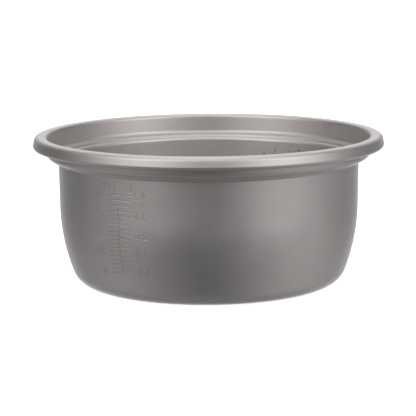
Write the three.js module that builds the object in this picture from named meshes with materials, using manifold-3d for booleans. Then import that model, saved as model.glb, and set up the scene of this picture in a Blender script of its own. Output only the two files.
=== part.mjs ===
// The inner pan of a large electric rice cooker: one sheet of aluminium, drawn deep, with a rolled
// rim, a two-step ledge for the lid, and two measuring scales pressed through the wall.
//
// Millimetres, +Z up. The origin is the middle of the underside of the base, and -Y is the front.
// The sheet is drawn as a centre line of straight runs and bends, and given its thickness on
// both sides of that line. Revolving the section gives the pan. Each scale is a row of bars,
// which are grooves on the outside of the wall and ridges on the inside.

import * as THREE from 'three';
import { mergeVertices } from 'three/addons/utils/BufferGeometryUtils.js';
import Module from 'manifold-3d';

// ---- Sheet and overall size ----

const SHEET = 2;
const SKIRT_FOOT_RADIUS = 179.6;
const HEIGHT = 152.7;

// ---- Base and wall, on the centre line of the sheet ----

const BASE_CORNER_RADIUS = 135.1;
const BASE_CORNER_BEND = 20.6;
const LOWER_WALL_CORNER_RADIUS = 152.15;
const LOWER_WALL_CORNER_LEVEL = 46.3;
const LOWER_WALL_BEND = 194.7;
const WALL_TOP_RADIUS = 153.2;

// ---- Ledge for the lid: two steps, the outer one higher ----

const LOWER_LEDGE_TOP = 128.9;
const UPPER_LEDGE_TOP = 131.5;
const LEDGE_BEND = 2.5;
const STEP_FOOT_RADIUS = 157.2;
const STEP_HEAD_RADIUS = 159;
const STEP_BEND = 1.2;

// ---- Collar, rim, skirt and hem ----

const COLLAR_FOOT_RADIUS = 164.9;
const COLLAR_FOOT_BEND = 5.6;
const COLLAR_HEAD_RADIUS = 167;
const RIM_INNER_BEND = 2.8;
const RIM_OUTER_CORNER_RADIUS = 177.3;
const RIM_OUTER_BEND = 4;
const HEM_BOTTOM = 140.1;
const HEM_WIDTH = 7;
const HEM_BEND = 2.2;
const HEM_EDGE_LEVEL = 145;

// ---- Facets ----

const FACETS_ROUND = 52;
const BEND_TOLERANCE = 0.35;

// ---- Measuring scales ----

const SCALE_COUNT = 2;
const SCALE_TURN_DEG = -34.6;
const CUP_SIDE = -1;
const LITRE_SIDE = 1;
const FIRST_CUP = 5;
const LAST_CUP = 23;
const LABELLED_CUPS = [5, 10, 15, 20, 23];
const FIRST_LITRE_MARK = 1;
const LITRE_STEP = 0.2;
const LITRE_STEPS_PER_LABEL = 4;
const LITRES_PER_CUP = 0.18;
const BAR_LENGTH = 12.5;
const LABELLED_BAR_LENGTH = 15;
const CUP_BAR_DROOP_DEG = 5.7;
const LITRE_BAR_DROOP_DEG = 2.3;
const MARK_WIDTH = 1.2;
const MARK_DEPTH = 0.5;
const MARK_ROOT = 0.7;

// Litres that the pan holds at a mark: rice and its water for each cup, and a little more for
// the cups above the last even one. From that cup up, a bar serves both sides of the scale.
const FILL_AT_NO_CUPS = 0.44;
const FILL_PER_CUP = 0.287;
const LAST_EVEN_CUP = 20;
const FILL_PER_TOP_CUP = 0.4;

// ---- Look ----

const ALUMINIUM = { color: 0xd5d0cc, roughness: 0.45, metalness: 1 };

// ---- Centre line of the sheet ----

const halfSheet = SHEET / 2;
const lowerLedge = LOWER_LEDGE_TOP - halfSheet;
const upperLedge = UPPER_LEDGE_TOP - halfSheet;
const rimLevel = HEIGHT - halfSheet;
const hemLevel = HEM_BOTTOM + halfSheet;
const hemInner = SKIRT_FOOT_RADIUS - (HEM_WIDTH - SHEET);

// Corners of the centre line, from the middle of the base to the free edge inside the hem, each
// as radius, level and the bend that rounds it.
const sheetCorners = [
  [0, halfSheet, 0],
  [BASE_CORNER_RADIUS, halfSheet, BASE_CORNER_BEND],
  [LOWER_WALL_CORNER_RADIUS, LOWER_WALL_CORNER_LEVEL, LOWER_WALL_BEND],
  [WALL_TOP_RADIUS, lowerLedge, LEDGE_BEND],
  [STEP_FOOT_RADIUS, lowerLedge, STEP_BEND],
  [STEP_HEAD_RADIUS, upperLedge, STEP_BEND],
  [COLLAR_FOOT_RADIUS, upperLedge, COLLAR_FOOT_BEND],
  [COLLAR_HEAD_RADIUS, rimLevel, RIM_INNER_BEND],
  [RIM_OUTER_CORNER_RADIUS, rimLevel, RIM_OUTER_BEND],
  [SKIRT_FOOT_RADIUS, hemLevel, HEM_BEND],
  [hemInner, hemLevel, HEM_BEND],
  [hemInner, HEM_EDGE_LEVEL, 0],
];

function turnLeft(direction) {
  return new THREE.Vector2(-direction.y, direction.x);
}

// Number of straight steps that follow a bend within the tolerance.
function stepsForBend(bend, turn) {
  const outerRadius = bend + halfSheet;
  const stepAngle = 2 * Math.acos(1 - BEND_TOLERANCE / outerRadius);
  return Math.ceil(Math.abs(turn) / stepAngle);
}

// Stations along the centre line, each with the direction across the sheet to its upper face:
// up on the base, inwards on the wall.
function sheetStations(corners) {
  const spots = corners.map(([radius, level]) => new THREE.Vector2(radius, level));
  const headings = spots.slice(1).map((spot, i) => spot.clone().sub(spots[i]).normalize());
  const stations = [{ point: spots[0], across: turnLeft(headings[0]) }];
  for (let i = 1; i < headings.length; i += 1) {
    const [before, after] = [headings[i - 1], headings[i]];
    const bend = corners[i][2];
    const turn = Math.atan2(before.cross(after), before.dot(after));
    const start = spots[i].clone().addScaledVector(before, -bend * Math.tan(Math.abs(turn) / 2));
    const centre = start.clone().addScaledVector(turnLeft(before), Math.sign(turn) * bend);
    const steps = stepsForBend(bend, turn);
    for (let k = 0; k <= steps; k += 1) {
      const angle = (turn * k) / steps;
      const across = turnLeft(before).rotateAround(new THREE.Vector2(), angle);
      stations.push({ point: start.clone().rotateAround(centre, angle), across });
    }
  }
  stations.push({ point: spots.at(-1), across: turnLeft(headings.at(-1)) });
  return stations;
}

const stations = sheetStations(sheetCorners);

// A line parallel to the centre line, some way across the sheet.
function parallelLine(line, offset) {
  return line.map(({ point, across }) => point.clone().addScaledVector(across, offset));
}

// ---- Solids ----

const wasm = await Module();
wasm.setup();

// Leaves out the triangles that merging has flattened onto the axis.
function withoutFlatTriangles(index) {
  const kept = [];
  for (let i = 0; i < index.length; i += 3) {
    const [a, b, c] = index.slice(i, i + 3);
    if (a !== b && b !== c && c !== a) kept.push(a, b, c);
  }
  return Uint32Array.from(kept);
}

function toSolid(geometry) {
  geometry.deleteAttribute('normal');
  geometry.deleteAttribute('uv');
  const merged = mergeVertices(geometry);
  return new wasm.Manifold(new wasm.Mesh({
    numProp: 3,
    vertProperties: Float32Array.from(merged.attributes.position.array),
    triVerts: withoutFlatTriangles(merged.index.array),
  }));
}

function toGeometry(solid) {
  const { vertProperties, triVerts } = solid.getMesh();
  const geometry = new THREE.BufferGeometry();
  geometry.setAttribute('position', new THREE.BufferAttribute(Float32Array.from(vertProperties), 3));
  geometry.setIndex(new THREE.BufferAttribute(Uint32Array.from(triVerts), 1));
  geometry.computeVertexNormals();
  return geometry;
}

function revolve(section) {
  return toSolid(new THREE.LatheGeometry(section, FACETS_ROUND).rotateX(Math.PI / 2));
}

// The plain pan, whose facets meet in an edge at the front and at the back.
function plainPan() {
  const lowerFace = parallelLine(stations, -halfSheet);
  const upperFace = parallelLine(stations, halfSheet);
  return revolve([...lowerFace, ...upperFace.toReversed()]);
}

// ---- Levels of the marks ----

const wallLine = stations.filter(({ point }) => point.y > halfSheet && point.y < lowerLedge);
const innerWall = parallelLine(wallLine, halfSheet);

function innerRadius(level) {
  const above = Math.max(1, innerWall.findIndex((point) => point.y > level));
  const [low, high] = [innerWall[above - 1], innerWall[above]];
  return THREE.MathUtils.mapLinear(level, low.y, high.y, low.x, high.x);
}

// Level that a number of litres comes up to, found by filling the pan in thin layers.
function levelOf(litres) {
  const layer = 0.05;
  let left = litres * 1e6;
  let level = SHEET;
  while (left > 0) {
    left -= Math.PI * innerRadius(level) ** 2 * layer;
    level += layer;
  }
  return level;
}

function cupLevel(cups) {
  const evenCups = Math.min(cups, LAST_EVEN_CUP);
  const topCups = cups - evenCups;
  return levelOf(FILL_AT_NO_CUPS + FILL_PER_CUP * evenCups + FILL_PER_TOP_CUP * topCups);
}

// ---- Bars of one scale, at the front ----

function barLength(labelled) {
  return labelled ? LABELLED_BAR_LENGTH : BAR_LENGTH;
}

function cupBars() {
  const bars = [];
  for (let cups = FIRST_CUP; cups <= LAST_CUP; cups += 1) {
    const bar = { level: cupLevel(cups), length: barLength(LABELLED_CUPS.includes(cups)) };
    bars.push({ ...bar, side: CUP_SIDE });
    if (cups >= LAST_EVEN_CUP) bars.push({ ...bar, side: LITRE_SIDE });
  }
  return bars;
}

function litreBars() {
  const bars = [];
  const litreAt = (step) => FIRST_LITRE_MARK + LITRE_STEP * step;
  for (let step = 0; litreAt(step) / LITRES_PER_CUP < LAST_EVEN_CUP - 1e-6; step += 1) {
    const length = barLength(step % LITRE_STEPS_PER_LABEL === 0);
    bars.push({ level: cupLevel(litreAt(step) / LITRES_PER_CUP), length, side: LITRE_SIDE });
  }
  return bars;
}

// Boxes that reach through the front of the wall: one for each bar, and the spine between them.
// A bar droops a little away from the spine.
function scaleBoxes() {
  const reach = 60;
  const middle = -WALL_TOP_RADIUS;
  const bars = [...cupBars(), ...litreBars()];
  const boxes = bars.map(({ level, length, side }) => {
    const droop = side === CUP_SIDE ? CUP_BAR_DROOP_DEG : LITRE_BAR_DROOP_DEG;
    const box = new THREE.BoxGeometry(length, reach, MARK_WIDTH).translate((side * length) / 2, 0, 0);
    return toSolid(box.rotateY(side * THREE.MathUtils.degToRad(droop)).translate(0, middle, level));
  });
  const [bottom, top] = [cupLevel(FIRST_CUP), cupLevel(LAST_CUP)];
  const spine = new THREE.BoxGeometry(MARK_WIDTH, reach, top - bottom);
  boxes.push(toSolid(spine.translate(0, middle, (bottom + top) / 2)));
  return wasm.Manifold.union(boxes);
}

// A band round the wall, between two distances across the sheet from its centre line.
function wallBand(from, to) {
  const inner = parallelLine(wallLine, to);
  const outer = parallelLine(wallLine, from);
  return revolve([...outer, ...inner.toReversed(), outer[0]]);
}

function panWithScales() {
  const front = scaleBoxes();
  const turns = Array.from({ length: SCALE_COUNT }, (_, i) => (360 * i) / SCALE_COUNT);
  const copies = turns.map((turn) => front.rotate([0, 0, turn]));
  const marks = wasm.Manifold.union(copies);
  const grooves = marks.intersect(wallBand(-halfSheet - MARK_ROOT, -halfSheet + MARK_DEPTH));
  const ridges = marks.intersect(wallBand(halfSheet - MARK_ROOT, halfSheet + MARK_DEPTH));
  return plainPan().subtract(grooves).add(ridges);
}

// ---- The object ----

const pan = new THREE.Mesh(toGeometry(panWithScales()), new THREE.MeshStandardMaterial(ALUMINIUM));
pan.name = 'inner_pan';
pan.rotation.z = THREE.MathUtils.degToRad(SCALE_TURN_DEG);

const object = new THREE.Group();
object.add(pan);

export default object;
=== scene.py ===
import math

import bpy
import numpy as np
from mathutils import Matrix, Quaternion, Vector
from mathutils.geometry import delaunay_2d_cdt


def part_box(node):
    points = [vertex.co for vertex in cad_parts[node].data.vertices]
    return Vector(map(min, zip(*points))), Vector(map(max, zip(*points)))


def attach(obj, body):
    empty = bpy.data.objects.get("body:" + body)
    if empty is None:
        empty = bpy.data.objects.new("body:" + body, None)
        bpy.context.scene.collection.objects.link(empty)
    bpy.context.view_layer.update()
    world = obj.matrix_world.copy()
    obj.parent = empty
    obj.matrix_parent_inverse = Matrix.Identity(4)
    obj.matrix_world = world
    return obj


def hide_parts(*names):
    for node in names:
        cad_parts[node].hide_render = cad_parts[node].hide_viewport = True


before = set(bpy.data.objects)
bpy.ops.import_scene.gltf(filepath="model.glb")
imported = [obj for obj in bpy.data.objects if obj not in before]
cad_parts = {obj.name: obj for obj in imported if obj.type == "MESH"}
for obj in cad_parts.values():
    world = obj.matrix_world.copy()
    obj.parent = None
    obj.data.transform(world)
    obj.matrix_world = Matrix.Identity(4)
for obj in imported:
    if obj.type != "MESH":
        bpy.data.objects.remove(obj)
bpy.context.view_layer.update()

# The finished look of a large rice cooker's inner pan: a fine mesh of the drawn sheet with its
# pressed measuring scales, its satin metal, and a pale studio.
#
# The sheet is a centre line of straight runs and bends, revolved, with a face on each side of it.
# A scale is pressed outwards in: the outer face dips along every stroke of it, and the inner face
# rises there. Section and scale are in millimetres, and points of the mesh are in metres.

MM = 0.001
NODE = "inner_pan"

# ---- Section of the sheet ----

_, pan_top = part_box(NODE)
HEIGHT = pan_top.z / MM
RIM_RADIUS = pan_top.x / MM

SHEET = 2.0
HALF_SHEET = SHEET / 2

BASE_CORNER_RADIUS = 135.1
BASE_CORNER_BEND = 20.6
LOWER_WALL_CORNER_RADIUS = 152.15
LOWER_WALL_CORNER_LEVEL = 46.3
LOWER_WALL_BEND = 194.7
WALL_TOP_RADIUS = 153.2

LOWER_LEDGE_LEVEL = HEIGHT - 23.8 - HALF_SHEET
UPPER_LEDGE_LEVEL = HEIGHT - 21.2 - HALF_SHEET
LEDGE_BEND = 2.5
STEP_FOOT_RADIUS = 157.2
STEP_HEAD_RADIUS = 159.0
STEP_BEND = 1.2

COLLAR_FOOT_RADIUS = 164.9
COLLAR_FOOT_BEND = 5.6
COLLAR_HEAD_RADIUS = 167.0
RIM_LEVEL = HEIGHT - HALF_SHEET
RIM_INNER_BEND = 2.8
RIM_OUTER_CORNER_RADIUS = RIM_RADIUS - 2.7
RIM_OUTER_BEND = 4.0

SKIRT_FOOT_RADIUS = RIM_RADIUS - 0.48
HEM_LEVEL = HEIGHT - 12.6 + HALF_SHEET
HEM_INNER_RADIUS = SKIRT_FOOT_RADIUS - 5.0
HEM_BEND = 2.2
HEM_EDGE_LEVEL = HEIGHT - 7.7

# Corners of the centre line, each as radius, level and the bend that rounds it.
SHEET_CORNERS = [
    (0.0, HALF_SHEET, 0.0),
    (BASE_CORNER_RADIUS, HALF_SHEET, BASE_CORNER_BEND),
    (LOWER_WALL_CORNER_RADIUS, LOWER_WALL_CORNER_LEVEL, LOWER_WALL_BEND),
    (WALL_TOP_RADIUS, LOWER_LEDGE_LEVEL, LEDGE_BEND),
    (STEP_FOOT_RADIUS, LOWER_LEDGE_LEVEL, STEP_BEND),
    (STEP_HEAD_RADIUS, UPPER_LEDGE_LEVEL, STEP_BEND),
    (COLLAR_FOOT_RADIUS, UPPER_LEDGE_LEVEL, COLLAR_FOOT_BEND),
    (COLLAR_HEAD_RADIUS, RIM_LEVEL, RIM_INNER_BEND),
    (RIM_OUTER_CORNER_RADIUS, RIM_LEVEL, RIM_OUTER_BEND),
    (SKIRT_FOOT_RADIUS, HEM_LEVEL, HEM_BEND),
    (HEM_INNER_RADIUS, HEM_LEVEL, HEM_BEND),
    (HEM_INNER_RADIUS, HEM_EDGE_LEVEL, 0.0),
]

# ---- Mesh of the section ----

COLUMNS = 180
RUN_STEP = 8.0
RUN_GUARD = 0.35
BEND_STEP = math.radians(7.5)
BEND_CHORD = 5.0

# ---- Scales: grooves on the outer face, ridges on the inner one ----

SCALE_AZIMUTHS = [math.radians(-34.6), math.radians(180 - 34.6)]
SCALE_RADIUS = 152.0
WINDOW_COLUMNS = 7
WINDOW_BOTTOM_LEVEL = 25.0

GROOVE_DEPTH = 0.14
RIDGE_HEIGHT = 0.35
# Painted shade along the scales' strokes: the colour darkens with a stroke's depth, at full share on
# the outer face and at this share on the inner one.
RIDGE_SHADE_SHARE = 0.9
GROOVE_FLOOR = 0.12
GROOVE_EDGE = 0.65

LITRES_PER_CUP = 0.18
FIRST_CUP = 5
LAST_CUP = 23
LAST_EVEN_CUP = 20
LABELLED_CUPS = [5, 10, 15, 20, 23]
LITRE_MARKS = [1.0 + 0.2 * step for step in range(13)]
LITRE_MARKS_PER_LABEL = 4
TOP_LITRES = "4.2"

# Litres that the pan holds at a mark: rice and its water for each cup, and a little more for the
# cups above the last even one.
FILL_AT_NO_CUPS = 0.44
FILL_PER_CUP = 0.287
FILL_PER_TOP_CUP = 0.4
FILL_LAYER = 0.05

# Across the scale, cups are on the positive side and litres on the negative side of the spine.
CUP_SIDE = 1
LITRE_SIDE = -1
BAR_LENGTH = 12.5
LABELLED_BAR_LENGTH = 15.0
BAR_DROOP = {CUP_SIDE: 0.1, LITRE_SIDE: 0.04}
LABEL_MIDDLE = 24.8
LABEL_DROP = {CUP_SIDE: 1.5, LITRE_SIDE: 0.3}
UNIT_LEVEL = 116.5
CUP_UNIT_MIDDLE = 12.5
LITRE_UNIT_MIDDLE = -12.5

DIGIT_SIZE = (3.9, 6.4)
LETTER_SIZE = (4.9, 6.4)
DOT_WIDTH = 0.4
GLYPH_GAP = 1.7


# ---- Centre line of the sheet ----

class Piece:
    """A stretch of the centre line with one curvature, which is 0 on a straight run."""

    def __init__(self, start, heading, length, curvature):
        self.start, self.heading, self.length, self.curvature = start, heading, length, curvature

    def at(self, distance):
        """Point of the line, and the direction across the sheet to its upper face."""
        heading = self.heading + self.curvature * distance
        if self.curvature:
            along = (math.sin(heading) - math.sin(self.heading)) / self.curvature
            up = (math.cos(self.heading) - math.cos(heading)) / self.curvature
        else:
            along, up = distance * math.cos(heading), distance * math.sin(heading)
        across = Vector((-math.sin(heading), math.cos(heading)))
        return self.start + Vector((along, up)), across

    def stops(self):
        """Distances of the mesh's rows along this piece, without its last point."""
        if self.curvature:
            turn = abs(self.curvature) * self.length
            count = math.ceil(max(turn / BEND_STEP, self.length / BEND_CHORD))
            return [self.length * i / count for i in range(count)]
        if self.length < 3 * RUN_GUARD:
            return [0.0]
        inside = self.length - 2 * RUN_GUARD
        count = math.ceil(inside / RUN_STEP)
        return [0.0] + [RUN_GUARD + inside * i / count for i in range(count + 1)]


class SheetLine:
    """The whole centre line, measured by the distance along it from the middle of the base."""

    def __init__(self, corners):
        self.pieces = []
        spots = [Vector(corner[:2]) for corner in corners]
        headings = [math.atan2(b.y - a.y, b.x - a.x) for a, b in zip(spots, spots[1:])]
        turns = [0.0] + [b - a for a, b in zip(headings, headings[1:])] + [0.0]
        turns = [math.remainder(turn, math.tau) for turn in turns]
        tangents = [corner[2] * math.tan(abs(turn) / 2) for corner, turn in zip(corners, turns)]
        for i, heading in enumerate(headings):
            direction = Vector((math.cos(heading), math.sin(heading)))
            start = spots[i] + tangents[i] * direction
            length = (spots[i + 1] - spots[i]).length - tangents[i] - tangents[i + 1]
            self.add_piece(start, heading, length, 0.0)
            if turns[i + 1]:
                bend, turn = corners[i + 1][2], turns[i + 1]
                end = spots[i + 1] - tangents[i + 1] * direction
                self.add_piece(end, heading, abs(turn) * bend, math.copysign(1 / bend, turn))
        self.length = sum(piece.length for piece in self.pieces)

    def add_piece(self, start, heading, length, curvature):
        if length > 1e-4:
            self.pieces.append(Piece(start, heading, length, curvature))

    def at(self, distance):
        for piece in self.pieces:
            if distance <= piece.length:
                return piece.at(distance)
            distance -= piece.length
        return self.pieces[-1].at(self.pieces[-1].length)

    def stops(self):
        stops, before = [], 0.0
        for piece in self.pieces:
            stops += [before + stop for stop in piece.stops()]
            before += piece.length
        return stops + [self.length]


line = SheetLine(SHEET_CORNERS)
row_stops = line.stops()

wall_stops = [stop for stop in row_stops if HALF_SHEET < line.at(stop)[0].y < LOWER_LEDGE_LEVEL]
wall_stops = [stop for stop in wall_stops if line.at(stop)[0].x < STEP_FOOT_RADIUS]
wall_levels = [line.at(stop)[0].y for stop in wall_stops]


def stop_at_level(level):
    return float(np.interp(level, wall_levels, wall_stops))


# ---- Levels of the marks ----

def inner_wall():
    points = [line.at(stop) for stop in wall_stops]
    faces = [point + HALF_SHEET * across for point, across in points]
    return [face.y for face in faces], [face.x for face in faces]


INNER_LEVELS, INNER_RADII = inner_wall()


def level_of(litres):
    """Level that a number of litres comes up to, found by filling the pan in thin layers."""
    left = litres * 1e6
    level = SHEET
    while left > 0:
        radius = float(np.interp(level, INNER_LEVELS, INNER_RADII))
        left -= math.pi * radius ** 2 * FILL_LAYER
        level += FILL_LAYER
    return level


def cup_level(cups):
    even_cups = min(cups, LAST_EVEN_CUP)
    top_cups = cups - even_cups
    return level_of(FILL_AT_NO_CUPS + FILL_PER_CUP * even_cups + FILL_PER_TOP_CUP * top_cups)


# ---- Strokes of the figures, in a cell one wide and one high ----

def arc(centre, radii, start, end):
    """Points of an elliptical arc. Angles are in degrees, and anticlockwise from the right."""
    count = max(2, round(abs(end - start) / 20))
    angles = [math.radians(start + (end - start) * i / count) for i in range(count + 1)]
    return [(centre[0] + radii[0] * math.cos(a), centre[1] + radii[1] * math.sin(a)) for a in angles]


GLYPHS = {
    "0": [arc((0.5, 0.5), (0.5, 0.5), 90, 450)],
    "1": [[(0.2, 0.78), (0.55, 1), (0.55, 0)]],
    "2": [arc((0.5, 0.72), (0.48, 0.28), 165, -30) + [(0, 0), (1, 0)]],
    "3": [arc((0.46, 0.75), (0.46, 0.25), 155, -90), arc((0.46, 0.26), (0.52, 0.26), 90, -155)],
    "4": [[(0.72, 0), (0.72, 1), (0, 0.28), (1, 0.28)]],
    "5": [[(0.92, 1), (0.14, 1), (0.08, 0.54)] + arc((0.46, 0.33), (0.52, 0.33), 135, -150)],
    "6": [arc((0.5, 0.31), (0.5, 0.31), 0, 360), arc((0.8, 0.31), (0.8, 0.69), 180, 95)],
    "8": [arc((0.5, 0.76), (0.42, 0.24), 0, 360), arc((0.5, 0.26), (0.5, 0.26), 0, 360)],
    ".": [[(0, 0.02), (1, 0.02)]],
    "L": [[(0, 1), (0, 0), (1, 0)]],
    "C": [arc((0.5, 0.5), (0.5, 0.5), 50, 310)],
    "U": [[(0, 1)] + arc((0.5, 0.36), (0.5, 0.36), 180, 360) + [(1, 1)]],
    "P": [[(0, 0), (0, 1)] + arc((0.6, 0.73), (0.4, 0.27), 90, -90) + [(0, 0.46)]],
}


def glyph_size(letter):
    if letter == ".":
        return DOT_WIDTH, DIGIT_SIZE[1]
    return LETTER_SIZE if letter.isalpha() else DIGIT_SIZE


def word_strokes(word, middle, level):
    """Strokes of a word, whose middle is this far across the scale and at this level."""
    sizes = [glyph_size(letter) for letter in word]
    width = sum(size[0] for size in sizes) + GLYPH_GAP * (len(word) - 1)
    strokes = []
    left = middle - width / 2
    for letter, (glyph_width, glyph_height) in zip(word, sizes):
        bottom = level - glyph_height / 2
        for stroke in GLYPHS[letter]:
            strokes.append([(left + x * glyph_width, bottom + y * glyph_height) for x, y in stroke])
        left += glyph_width + GLYPH_GAP
    return strokes


# ---- Strokes of one scale, as distance across it and level ----

def bar_stroke(level, side, labelled):
    length = LABELLED_BAR_LENGTH if labelled else BAR_LENGTH
    return [(0, level), (side * length, level - BAR_DROOP[side] * length)]


def label_strokes(word, side, level):
    return word_strokes(word, side * LABEL_MIDDLE, level - LABEL_DROP[side])


def cup_strokes():
    bars, labels = [], []
    for cups in range(FIRST_CUP, LAST_CUP + 1):
        level = cup_level(cups)
        labelled = cups in LABELLED_CUPS
        bars.append(bar_stroke(level, CUP_SIDE, labelled))
        if cups >= LAST_EVEN_CUP:
            bars.append(bar_stroke(level, LITRE_SIDE, labelled))
        if labelled:
            labels += label_strokes(str(cups), CUP_SIDE, level)
    return bars, labels


def litre_strokes():
    bars, labels = [], []
    for index, litres in enumerate(LITRE_MARKS):
        level = cup_level(litres / LITRES_PER_CUP)
        labelled = index % LITRE_MARKS_PER_LABEL == 0
        bars.append(bar_stroke(level, LITRE_SIDE, labelled))
        if labelled:
            labels += label_strokes(f"{litres:.1f}", LITRE_SIDE, level)
    return bars, labels + label_strokes(TOP_LITRES, LITRE_SIDE, cup_level(LAST_CUP))


def scale_strokes():
    """Straight strokes of the bars and the spine, and the strokes of the figures."""
    cup_bars, cup_labels = cup_strokes()
    litre_bars, litre_labels = litre_strokes()
    spine = [(0, cup_level(FIRST_CUP)), (0, cup_level(LAST_CUP))]
    units = word_strokes("CUP", CUP_UNIT_MIDDLE, UNIT_LEVEL)
    units += word_strokes("L", LITRE_UNIT_MIDDLE, UNIT_LEVEL)
    return cup_bars + litre_bars + [spine], cup_labels + litre_labels + units


def on_sheet(stroke):
    """The stroke with its levels turned into distances along the centre line."""
    return np.array([(across, stop_at_level(level)) for across, level in stroke])


# ---- Points of the mesh round the strokes ----

BEYOND_EDGE = GROOVE_EDGE + 0.2
BESIDE_STROKE = [0.0, 0.12, -0.12, 0.3, -0.3, 0.47, -0.47,
                 GROOVE_EDGE, -GROOVE_EDGE, BEYOND_EDGE, -BEYOND_EDGE]
BAR_STEP = 2.5
FIGURE_STEP = 0.55
CLOSEST = 0.13
SLOPE_STEP = 0.05
CAP_TURNS = [math.radians(turn) for turn in (0, 45, -45)]


def resampled(stroke, step):
    """Evenly spaced points of a stroke, and its direction at each."""
    legs = np.diff(stroke, axis=0)
    lengths = np.hypot(*legs.T)
    distances = np.concatenate([[0], np.cumsum(lengths)])
    count = max(1, round(distances[-1] / step))
    wanted = np.linspace(0, distances[-1], count + 1)
    leg = np.clip(np.searchsorted(distances, wanted) - 1, 0, len(legs) - 1)
    points = np.stack([np.interp(wanted, distances, stroke[:, axis]) for axis in (0, 1)], axis=1)
    return points, legs[leg] / lengths[leg, None]


def turned(direction, angle):
    cos, sin = math.cos(angle), math.sin(angle)
    return np.array([cos * direction[0] - sin * direction[1], sin * direction[0] + cos * direction[1]])


def points_beside(stroke, step):
    points, directions = resampled(stroke, step)
    sideways = np.stack([-directions[:, 1], directions[:, 0]], axis=1)
    found = [points + offset * sideways for offset in BESIDE_STROKE]
    ends = [(points[0], -directions[0]), (points[-1], directions[-1])]
    for end, outwards in ends:
        for angle in CAP_TURNS:
            reach = np.array(BESIDE_STROKE[1::2])
            found.append(end + reach[:, None] * turned(outwards, angle))
    return found


def thinned(points, kept, closest):
    """Adds to kept the points that are further than closest from every kept one."""
    cells = {}
    for point in kept:
        cells.setdefault((int(point[0] // closest), int(point[1] // closest)), []).append(point)
    for point in points:
        column, row = int(point[0] // closest), int(point[1] // closest)
        around = [cells.get((column + i, row + j), []) for i in (-1, 0, 1) for j in (-1, 0, 1)]
        if all(math.dist(point, other) >= closest for cell in around for other in cell):
            kept.append(point)
            cells.setdefault((column, row), []).append(point)
    return kept


def distance_to_strokes(points, strokes):
    """Distance from each point to the nearest stroke."""
    nearest = np.full(len(points), np.inf)
    for stroke in strokes:
        for start, end in zip(stroke, stroke[1:]):
            leg = end - start
            share = np.clip((points - start) @ leg / (leg @ leg), 0, 1)
            away = points - (start + share[:, None] * leg)
            nearest = np.minimum(nearest, np.hypot(away[:, 0], away[:, 1]))
    return nearest


def groove_depth(distances):
    """Share of the full depth at a distance from a stroke's middle: a floor, then a shoulder."""
    share = np.clip((distances - GROOVE_FLOOR) / (GROOVE_EDGE - GROOVE_FLOOR), 0, 1)
    return (1 + np.cos(math.pi * share)) / 2


def groove_slope(points, strokes):
    """Change of the depth's share for each millimetre across the scale, and along the sheet."""
    slopes = []
    for step in (np.array([SLOPE_STEP, 0]), np.array([0, SLOPE_STEP])):
        after = groove_depth(distance_to_strokes(points + step, strokes))
        before = groove_depth(distance_to_strokes(points - step, strokes))
        slopes.append((after - before) / (2 * SLOPE_STEP))
    return np.stack(slopes, axis=1)


# ---- The window of the wall that a scale fills ----

COLUMN_TURN = math.tau / COLUMNS
window_rows = [row for row, stop in enumerate(row_stops)
               if stop in wall_stops and line.at(stop)[0].y >= WINDOW_BOTTOM_LEVEL
               and line.at(stop)[1].x < -math.cos(BEND_STEP * 3)]


def window_grid():
    """Mesh points of the plain wall in the window, each as column, row and its place."""
    grid = []
    for row in window_rows:
        for column in range(-WINDOW_COLUMNS, WINDOW_COLUMNS + 1):
            across = -column * COLUMN_TURN * SCALE_RADIUS
            grid.append((column, row, (across, row_stops[row])))
    return grid


def on_border(column, row):
    return abs(column) == WINDOW_COLUMNS or row in (window_rows[0], window_rows[-1])


def window_patch():
    """The window's flat mesh: points, shares of full depth, slopes, triangles and border places."""
    straight, figures = scale_strokes()
    straight = [on_sheet(stroke) for stroke in straight]
    figures = [on_sheet(stroke) for stroke in figures]
    grid = window_grid()
    border = [(column, row) for column, row, _ in grid if on_border(column, row)]
    kept = [place for column, row, place in grid if on_border(column, row)]
    kept_count = len(kept)
    beside = [points for stroke in straight for points in points_beside(stroke, BAR_STEP)]
    beside += [points for stroke in figures for points in points_beside(stroke, FIGURE_STEP)]
    kept = thinned([tuple(point) for point in np.concatenate(beside)], kept, CLOSEST)
    inner = [place for column, row, place in grid if not on_border(column, row)]
    kept = thinned(inner, kept, GROOVE_EDGE)
    flat = delaunay_2d_cdt([Vector(point) for point in kept], [], [], 0, 1e-6)
    places, triangles, sources = flat[0], flat[2], flat[3]
    order = [min(source) for source in sources]
    points = np.array([places[i] for i in range(len(places))])
    strokes = straight + figures
    depths = groove_depth(distance_to_strokes(points, strokes))
    slopes = groove_slope(points, strokes)
    border_of = {i: border[source] for i, source in enumerate(order) if source < kept_count}
    return points.tolist(), depths.tolist(), slopes.tolist(), triangles, border_of


# ---- The pan's mesh ----

OUTER_FACE = -1
INNER_FACE = 1


def azimuth_vector(outwards, up, azimuth):
    """Vector at an azimuth, which is measured from the front towards the right."""
    return Vector((outwards * math.sin(azimuth), -outwards * math.cos(azimuth), up))


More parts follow.
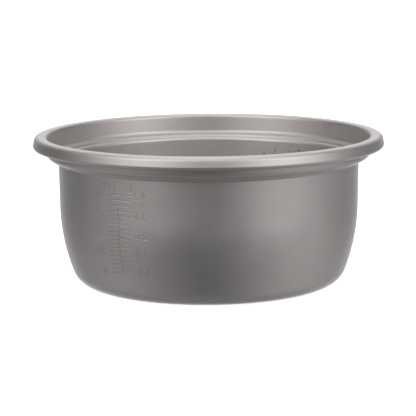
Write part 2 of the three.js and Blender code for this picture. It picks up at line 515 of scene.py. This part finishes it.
class PanMesh:
    def __init__(self):
        self.vertices, self.normals, self.faces = [], [], []
        # Share of painted shade along the scales' strokes at each point, which darkens its colour.
        self.pressed = []

    def add_vertex(self, stop, side, azimuth, depth=0.0, slope=(0.0, 0.0), shade=0.0):
        """Adds a point of one face of the sheet, moved inwards by depth, with its normal and the share
        of painted shade that darkens its colour.
        """
        point, across = line.at(stop)
        face = point + (side * HALF_SHEET + depth) * across
        self.vertices.append(MM * azimuth_vector(face.x, face.y, azimuth))
        sideways = azimuth_vector(1, 0, azimuth - math.pi / 2)
        upper = azimuth_vector(across.x, across.y, azimuth)
        upper -= slope[0] * sideways + slope[1] * azimuth_vector(across.y, -across.x, azimuth)
        self.normals.append(side * upper.normalized())
        self.pressed.append(shade)
        return len(self.vertices) - 1

    def add_face(self, corners, side):
        """Adds a face whose corners run anticlockwise as seen from the inner side of the sheet."""
        self.faces.append(corners if side == INNER_FACE else corners[::-1])

    def add_rings(self, side):
        """Rings of one face of the sheet, and the pole at the middle of the base."""
        rings = []
        for stop in row_stops[1:]:
            ring = [self.add_vertex(stop, side, SCALE_AZIMUTHS[0] + column * COLUMN_TURN)
                    for column in range(COLUMNS)]
            rings.append(ring)
        pole = self.add_vertex(0, side, 0)
        return pole, rings

    def add_bands(self, side, pole, rings):
        for column in range(COLUMNS):
            after = (column + 1) % COLUMNS
            self.add_face([pole, rings[0][column], rings[0][after]], side)
            for row in range(len(rings) - 1):
                if not in_window(column, row + 1):
                    self.add_face([rings[row][column], rings[row + 1][column],
                                   rings[row + 1][after], rings[row][after]], side)

    def add_edge(self, outer_ring, inner_ring):
        """The sheet's free edge inside the hem."""
        for column in range(COLUMNS):
            after = (column + 1) % COLUMNS
            self.faces.append([outer_ring[column], outer_ring[after],
                               inner_ring[after], inner_ring[column]])

    def add_scale(self, side, rings, first_column, patch):
        points, depths, slopes, triangles, border_of = patch
        azimuth = SCALE_AZIMUTHS[0] + first_column * COLUMN_TURN
        height = RIDGE_HEIGHT if side == INNER_FACE else GROOVE_DEPTH
        # Painted shade: how much the strokes on this face darken the colour, deepest along a stroke's
        # middle.
        stroke_shade_share = RIDGE_SHADE_SHARE if side == INNER_FACE else 1.0
        corners = []
        for i, (across, stop) in enumerate(points):
            if i in border_of:
                column, row = border_of[i]
                corners.append(rings[row - 1][(first_column + column) % COLUMNS])
            else:
                turn = azimuth - across / SCALE_RADIUS
                slope = [height * part for part in slopes[i]]
                shade = stroke_shade_share * depths[i]
                corners.append(self.add_vertex(stop, side, turn, height * depths[i], slope, shade))
        for triangle in triangles:
            self.add_face([corners[i] for i in triangle], side)


def in_window(column, row):
    """Whether the band between this row and the next, and this column and the next, is a scale's."""
    half_turn = COLUMNS // len(SCALE_AZIMUTHS)
    from_spine = (column + WINDOW_COLUMNS) % half_turn
    return from_spine < 2 * WINDOW_COLUMNS and window_rows[0] <= row < window_rows[-1]


def build_pan():
    shape = PanMesh()
    patch = window_patch()
    edges = []
    for side in (OUTER_FACE, INNER_FACE):
        pole, rings = shape.add_rings(side)
        shape.add_bands(side, pole, rings)
        for index in range(len(SCALE_AZIMUTHS)):
            shape.add_scale(side, rings, index * COLUMNS // len(SCALE_AZIMUTHS), patch)
        edges.append(rings[-1])
    shape.add_edge(*edges)
    mesh = bpy.data.meshes.new("inner_pan_finished")
    mesh.from_pydata(shape.vertices, [], shape.faces)
    mesh.shade_smooth()
    mesh.normals_split_custom_set_from_vertices(shape.normals)
    # The painted shade of the strokes goes to the material as a point attribute.
    pressed = mesh.attributes.new("pressed", "FLOAT", "POINT")
    pressed.data.foreach_set("value", shape.pressed)
    pan = bpy.data.objects.new("inner_pan_finished", mesh)
    bpy.context.scene.collection.objects.link(pan)
    return pan


# ---- Material ----

def add_node(tree, kind, **values):
    node = tree.nodes.new(kind)
    for name, value in values.items():
        node.inputs[name.replace("_", " ")].default_value = value
    return node


def blasted_aluminium():
    """Bead-blasted aluminium: one warm grey, faintly mottled, with a fine grain, and painted shade
    that darkens it along the scales' strokes.
    """
    material = bpy.data.materials.new("blasted_aluminium")
    material.use_nodes = True
    tree = material.node_tree
    metal = tree.nodes["Principled BSDF"]
    metal.inputs["Metallic"].default_value = 1.0
    place = tree.nodes.new("ShaderNodeTexCoord").outputs["Object"]

    mottle = add_node(tree, "ShaderNodeTexNoise", Scale=38.0, Detail=5.0, Roughness=0.6)
    tree.links.new(place, mottle.inputs["Vector"])
    tint = tree.nodes.new("ShaderNodeMix")
    tint.data_type = "RGBA"
    tint.inputs["A"].default_value = (0.630, 0.597, 0.575, 1)
    tint.inputs["B"].default_value = (0.700, 0.663, 0.638, 1)
    tree.links.new(mottle.outputs["Fac"], tint.inputs["Factor"])

    # Painted shade: along the scales' strokes the base colour darkens towards this grey, by the share
    # stored on the mesh.
    stroke_shade_attribute = tree.nodes.new("ShaderNodeAttribute")
    stroke_shade_attribute.attribute_name = "pressed"
    stroke_shaded = tree.nodes.new("ShaderNodeMix")
    stroke_shaded.data_type = "RGBA"
    stroke_shaded.inputs["B"].default_value = (0.470, 0.446, 0.430, 1)
    tree.links.new(stroke_shade_attribute.outputs["Fac"], stroke_shaded.inputs["Factor"])
    tree.links.new(tint.outputs["Result"], stroke_shaded.inputs["A"])
    tree.links.new(stroke_shaded.outputs["Result"], metal.inputs["Base Color"])

    sheen = add_node(tree, "ShaderNodeMapRange", To_Min=0.40, To_Max=0.50)
    tree.links.new(mottle.outputs["Fac"], sheen.inputs["Value"])
    tree.links.new(sheen.outputs["Result"], metal.inputs["Roughness"])

    grain = add_node(tree, "ShaderNodeTexNoise", Scale=800.0, Detail=2.0, Roughness=0.5)
    tree.links.new(place, grain.inputs["Vector"])
    bump = add_node(tree, "ShaderNodeBump", Strength=0.25, Distance=0.0001)
    tree.links.new(grain.outputs["Fac"], bump.inputs["Height"])
    tree.links.new(bump.outputs["Normal"], metal.inputs["Normal"])
    return material


# ---- Studio ----

CAMERA_PLACE = Vector((0.0, -1.7840, 0.3825))
CAMERA_AIM = Vector((-0.0010, 0.0, 0.0747))
CAMERA_ROLL = math.radians(-0.43)
FOCAL_LENGTH = 151.24
SENSOR_WIDTH = 36.0


def add_camera():
    camera = bpy.data.objects.new("camera", bpy.data.cameras.new("camera"))
    camera.data.sensor_width = SENSOR_WIDTH
    camera.data.lens = FOCAL_LENGTH
    camera.location = CAMERA_PLACE
    level = (CAMERA_AIM - CAMERA_PLACE).to_track_quat("-Z", "Y")
    camera.rotation_mode = "QUATERNION"
    camera.rotation_quaternion = level @ Quaternion((0, 0, 1), CAMERA_ROLL)
    bpy.context.scene.collection.objects.link(camera)
    bpy.context.scene.camera = camera


def plane(name, size, level):
    half = size / 2
    mesh = bpy.data.meshes.new(name)
    corners = [(-half, -half, level), (half, -half, level), (half, half, level), (-half, half, level)]
    mesh.from_pydata(corners, [], [(0, 1, 2, 3)])
    obj = bpy.data.objects.new(name, mesh)
    bpy.context.scene.collection.objects.link(obj)
    return obj


def add_floor():
    floor = plane("floor", 60.0, 0.0)
    material = bpy.data.materials.new("pale_floor")
    material.use_nodes = True
    shader = material.node_tree.nodes["Principled BSDF"]
    shader.inputs["Base Color"].default_value = (0.85, 0.85, 0.85, 1)
    shader.inputs["Roughness"].default_value = 0.9
    shader.inputs["Emission Color"].default_value = (1, 1, 1, 1)
    shader.inputs["Emission Strength"].default_value = 0.8
    floor.data.materials.append(material)
    floor.visible_glossy = False


ROOM_TINT = (0.99, 1.0, 1.02, 1)

# Soft lights far away all round, as a studio for bright metal has them: a key on each side of the
# camera, a white sweep behind, a ceiling, and what the table's sides throw back. Each has the
# azimuth and elevation of its middle in degrees, how tight it is, and its brightness there, as a
# share of a key's. A light fades by half at about 70 degrees over the root of its tightness.
KEY_BRIGHTNESS = 2.0
SOFT_LIGHTS = {
    "key_right": (50, 25, 10, 1),
    "key_left": (-45, 30, 10, 1),
    "sweep_low": (180, -15, 10, 1),
    "sweep_high": (180, 45, 8, 1 / 2),
    "ceiling": (0, 90, 6, 1 / 2),
    "bounce_right": (90, -35, 4, 1 / 4),
    "bounce_left": (-90, -40, 4, 1 / 5),
}


def math_node(tree, operation, first, second):
    """A math node whose two inputs are sockets or numbers."""
    node = tree.nodes.new("ShaderNodeMath")
    node.operation = operation
    for socket, value in zip(node.inputs, (first, second)):
        if isinstance(value, bpy.types.NodeSocket):
            tree.links.new(value, socket)
        else:
            socket.default_value = value
    return node.outputs["Value"]


def add_room():
    """The room is the sum of its soft lights, and is plain white where it is seen directly."""
    world = bpy.data.worlds.new("room")
    world.use_nodes = True
    world.cycles.sampling_method = "NONE"
    tree = world.node_tree
    direction = tree.nodes.new("ShaderNodeTexCoord").outputs["Generated"]
    total = 0.0
    for azimuth, elevation, tightness, brightness in SOFT_LIGHTS.values():
        turn, rise = math.radians(azimuth), math.radians(elevation)
        nearness = tree.nodes.new("ShaderNodeVectorMath")
        nearness.operation = "DOT_PRODUCT"
        nearness.inputs[1].default_value = azimuth_vector(math.cos(rise), math.sin(rise), turn)
        tree.links.new(direction, nearness.inputs[0])
        falloff = math_node(tree, "SUBTRACT", nearness.outputs["Value"], 1.0)
        falloff = math_node(tree, "MULTIPLY", falloff, tightness)
        share = math_node(tree, "EXPONENT", falloff, 0.0)
        light = math_node(tree, "MULTIPLY", share, brightness * KEY_BRIGHTNESS)
        total = math_node(tree, "ADD", light, total)
    seen = tree.nodes.new("ShaderNodeLightPath").outputs["Is Camera Ray"]
    total = math_node(tree, "MAXIMUM", total, seen)
    tree.links.new(total, tree.nodes["Background"].inputs["Strength"])
    tree.nodes["Background"].inputs["Color"].default_value = ROOM_TINT
    bpy.context.scene.world = world


# ---- The scene ----

bpy.context.scene.view_settings.view_transform = "Standard"
add_camera()
pan = build_pan()
pan.data.materials.append(blasted_aluminium())
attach(pan, "root")
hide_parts(NODE)
add_floor()
add_room()
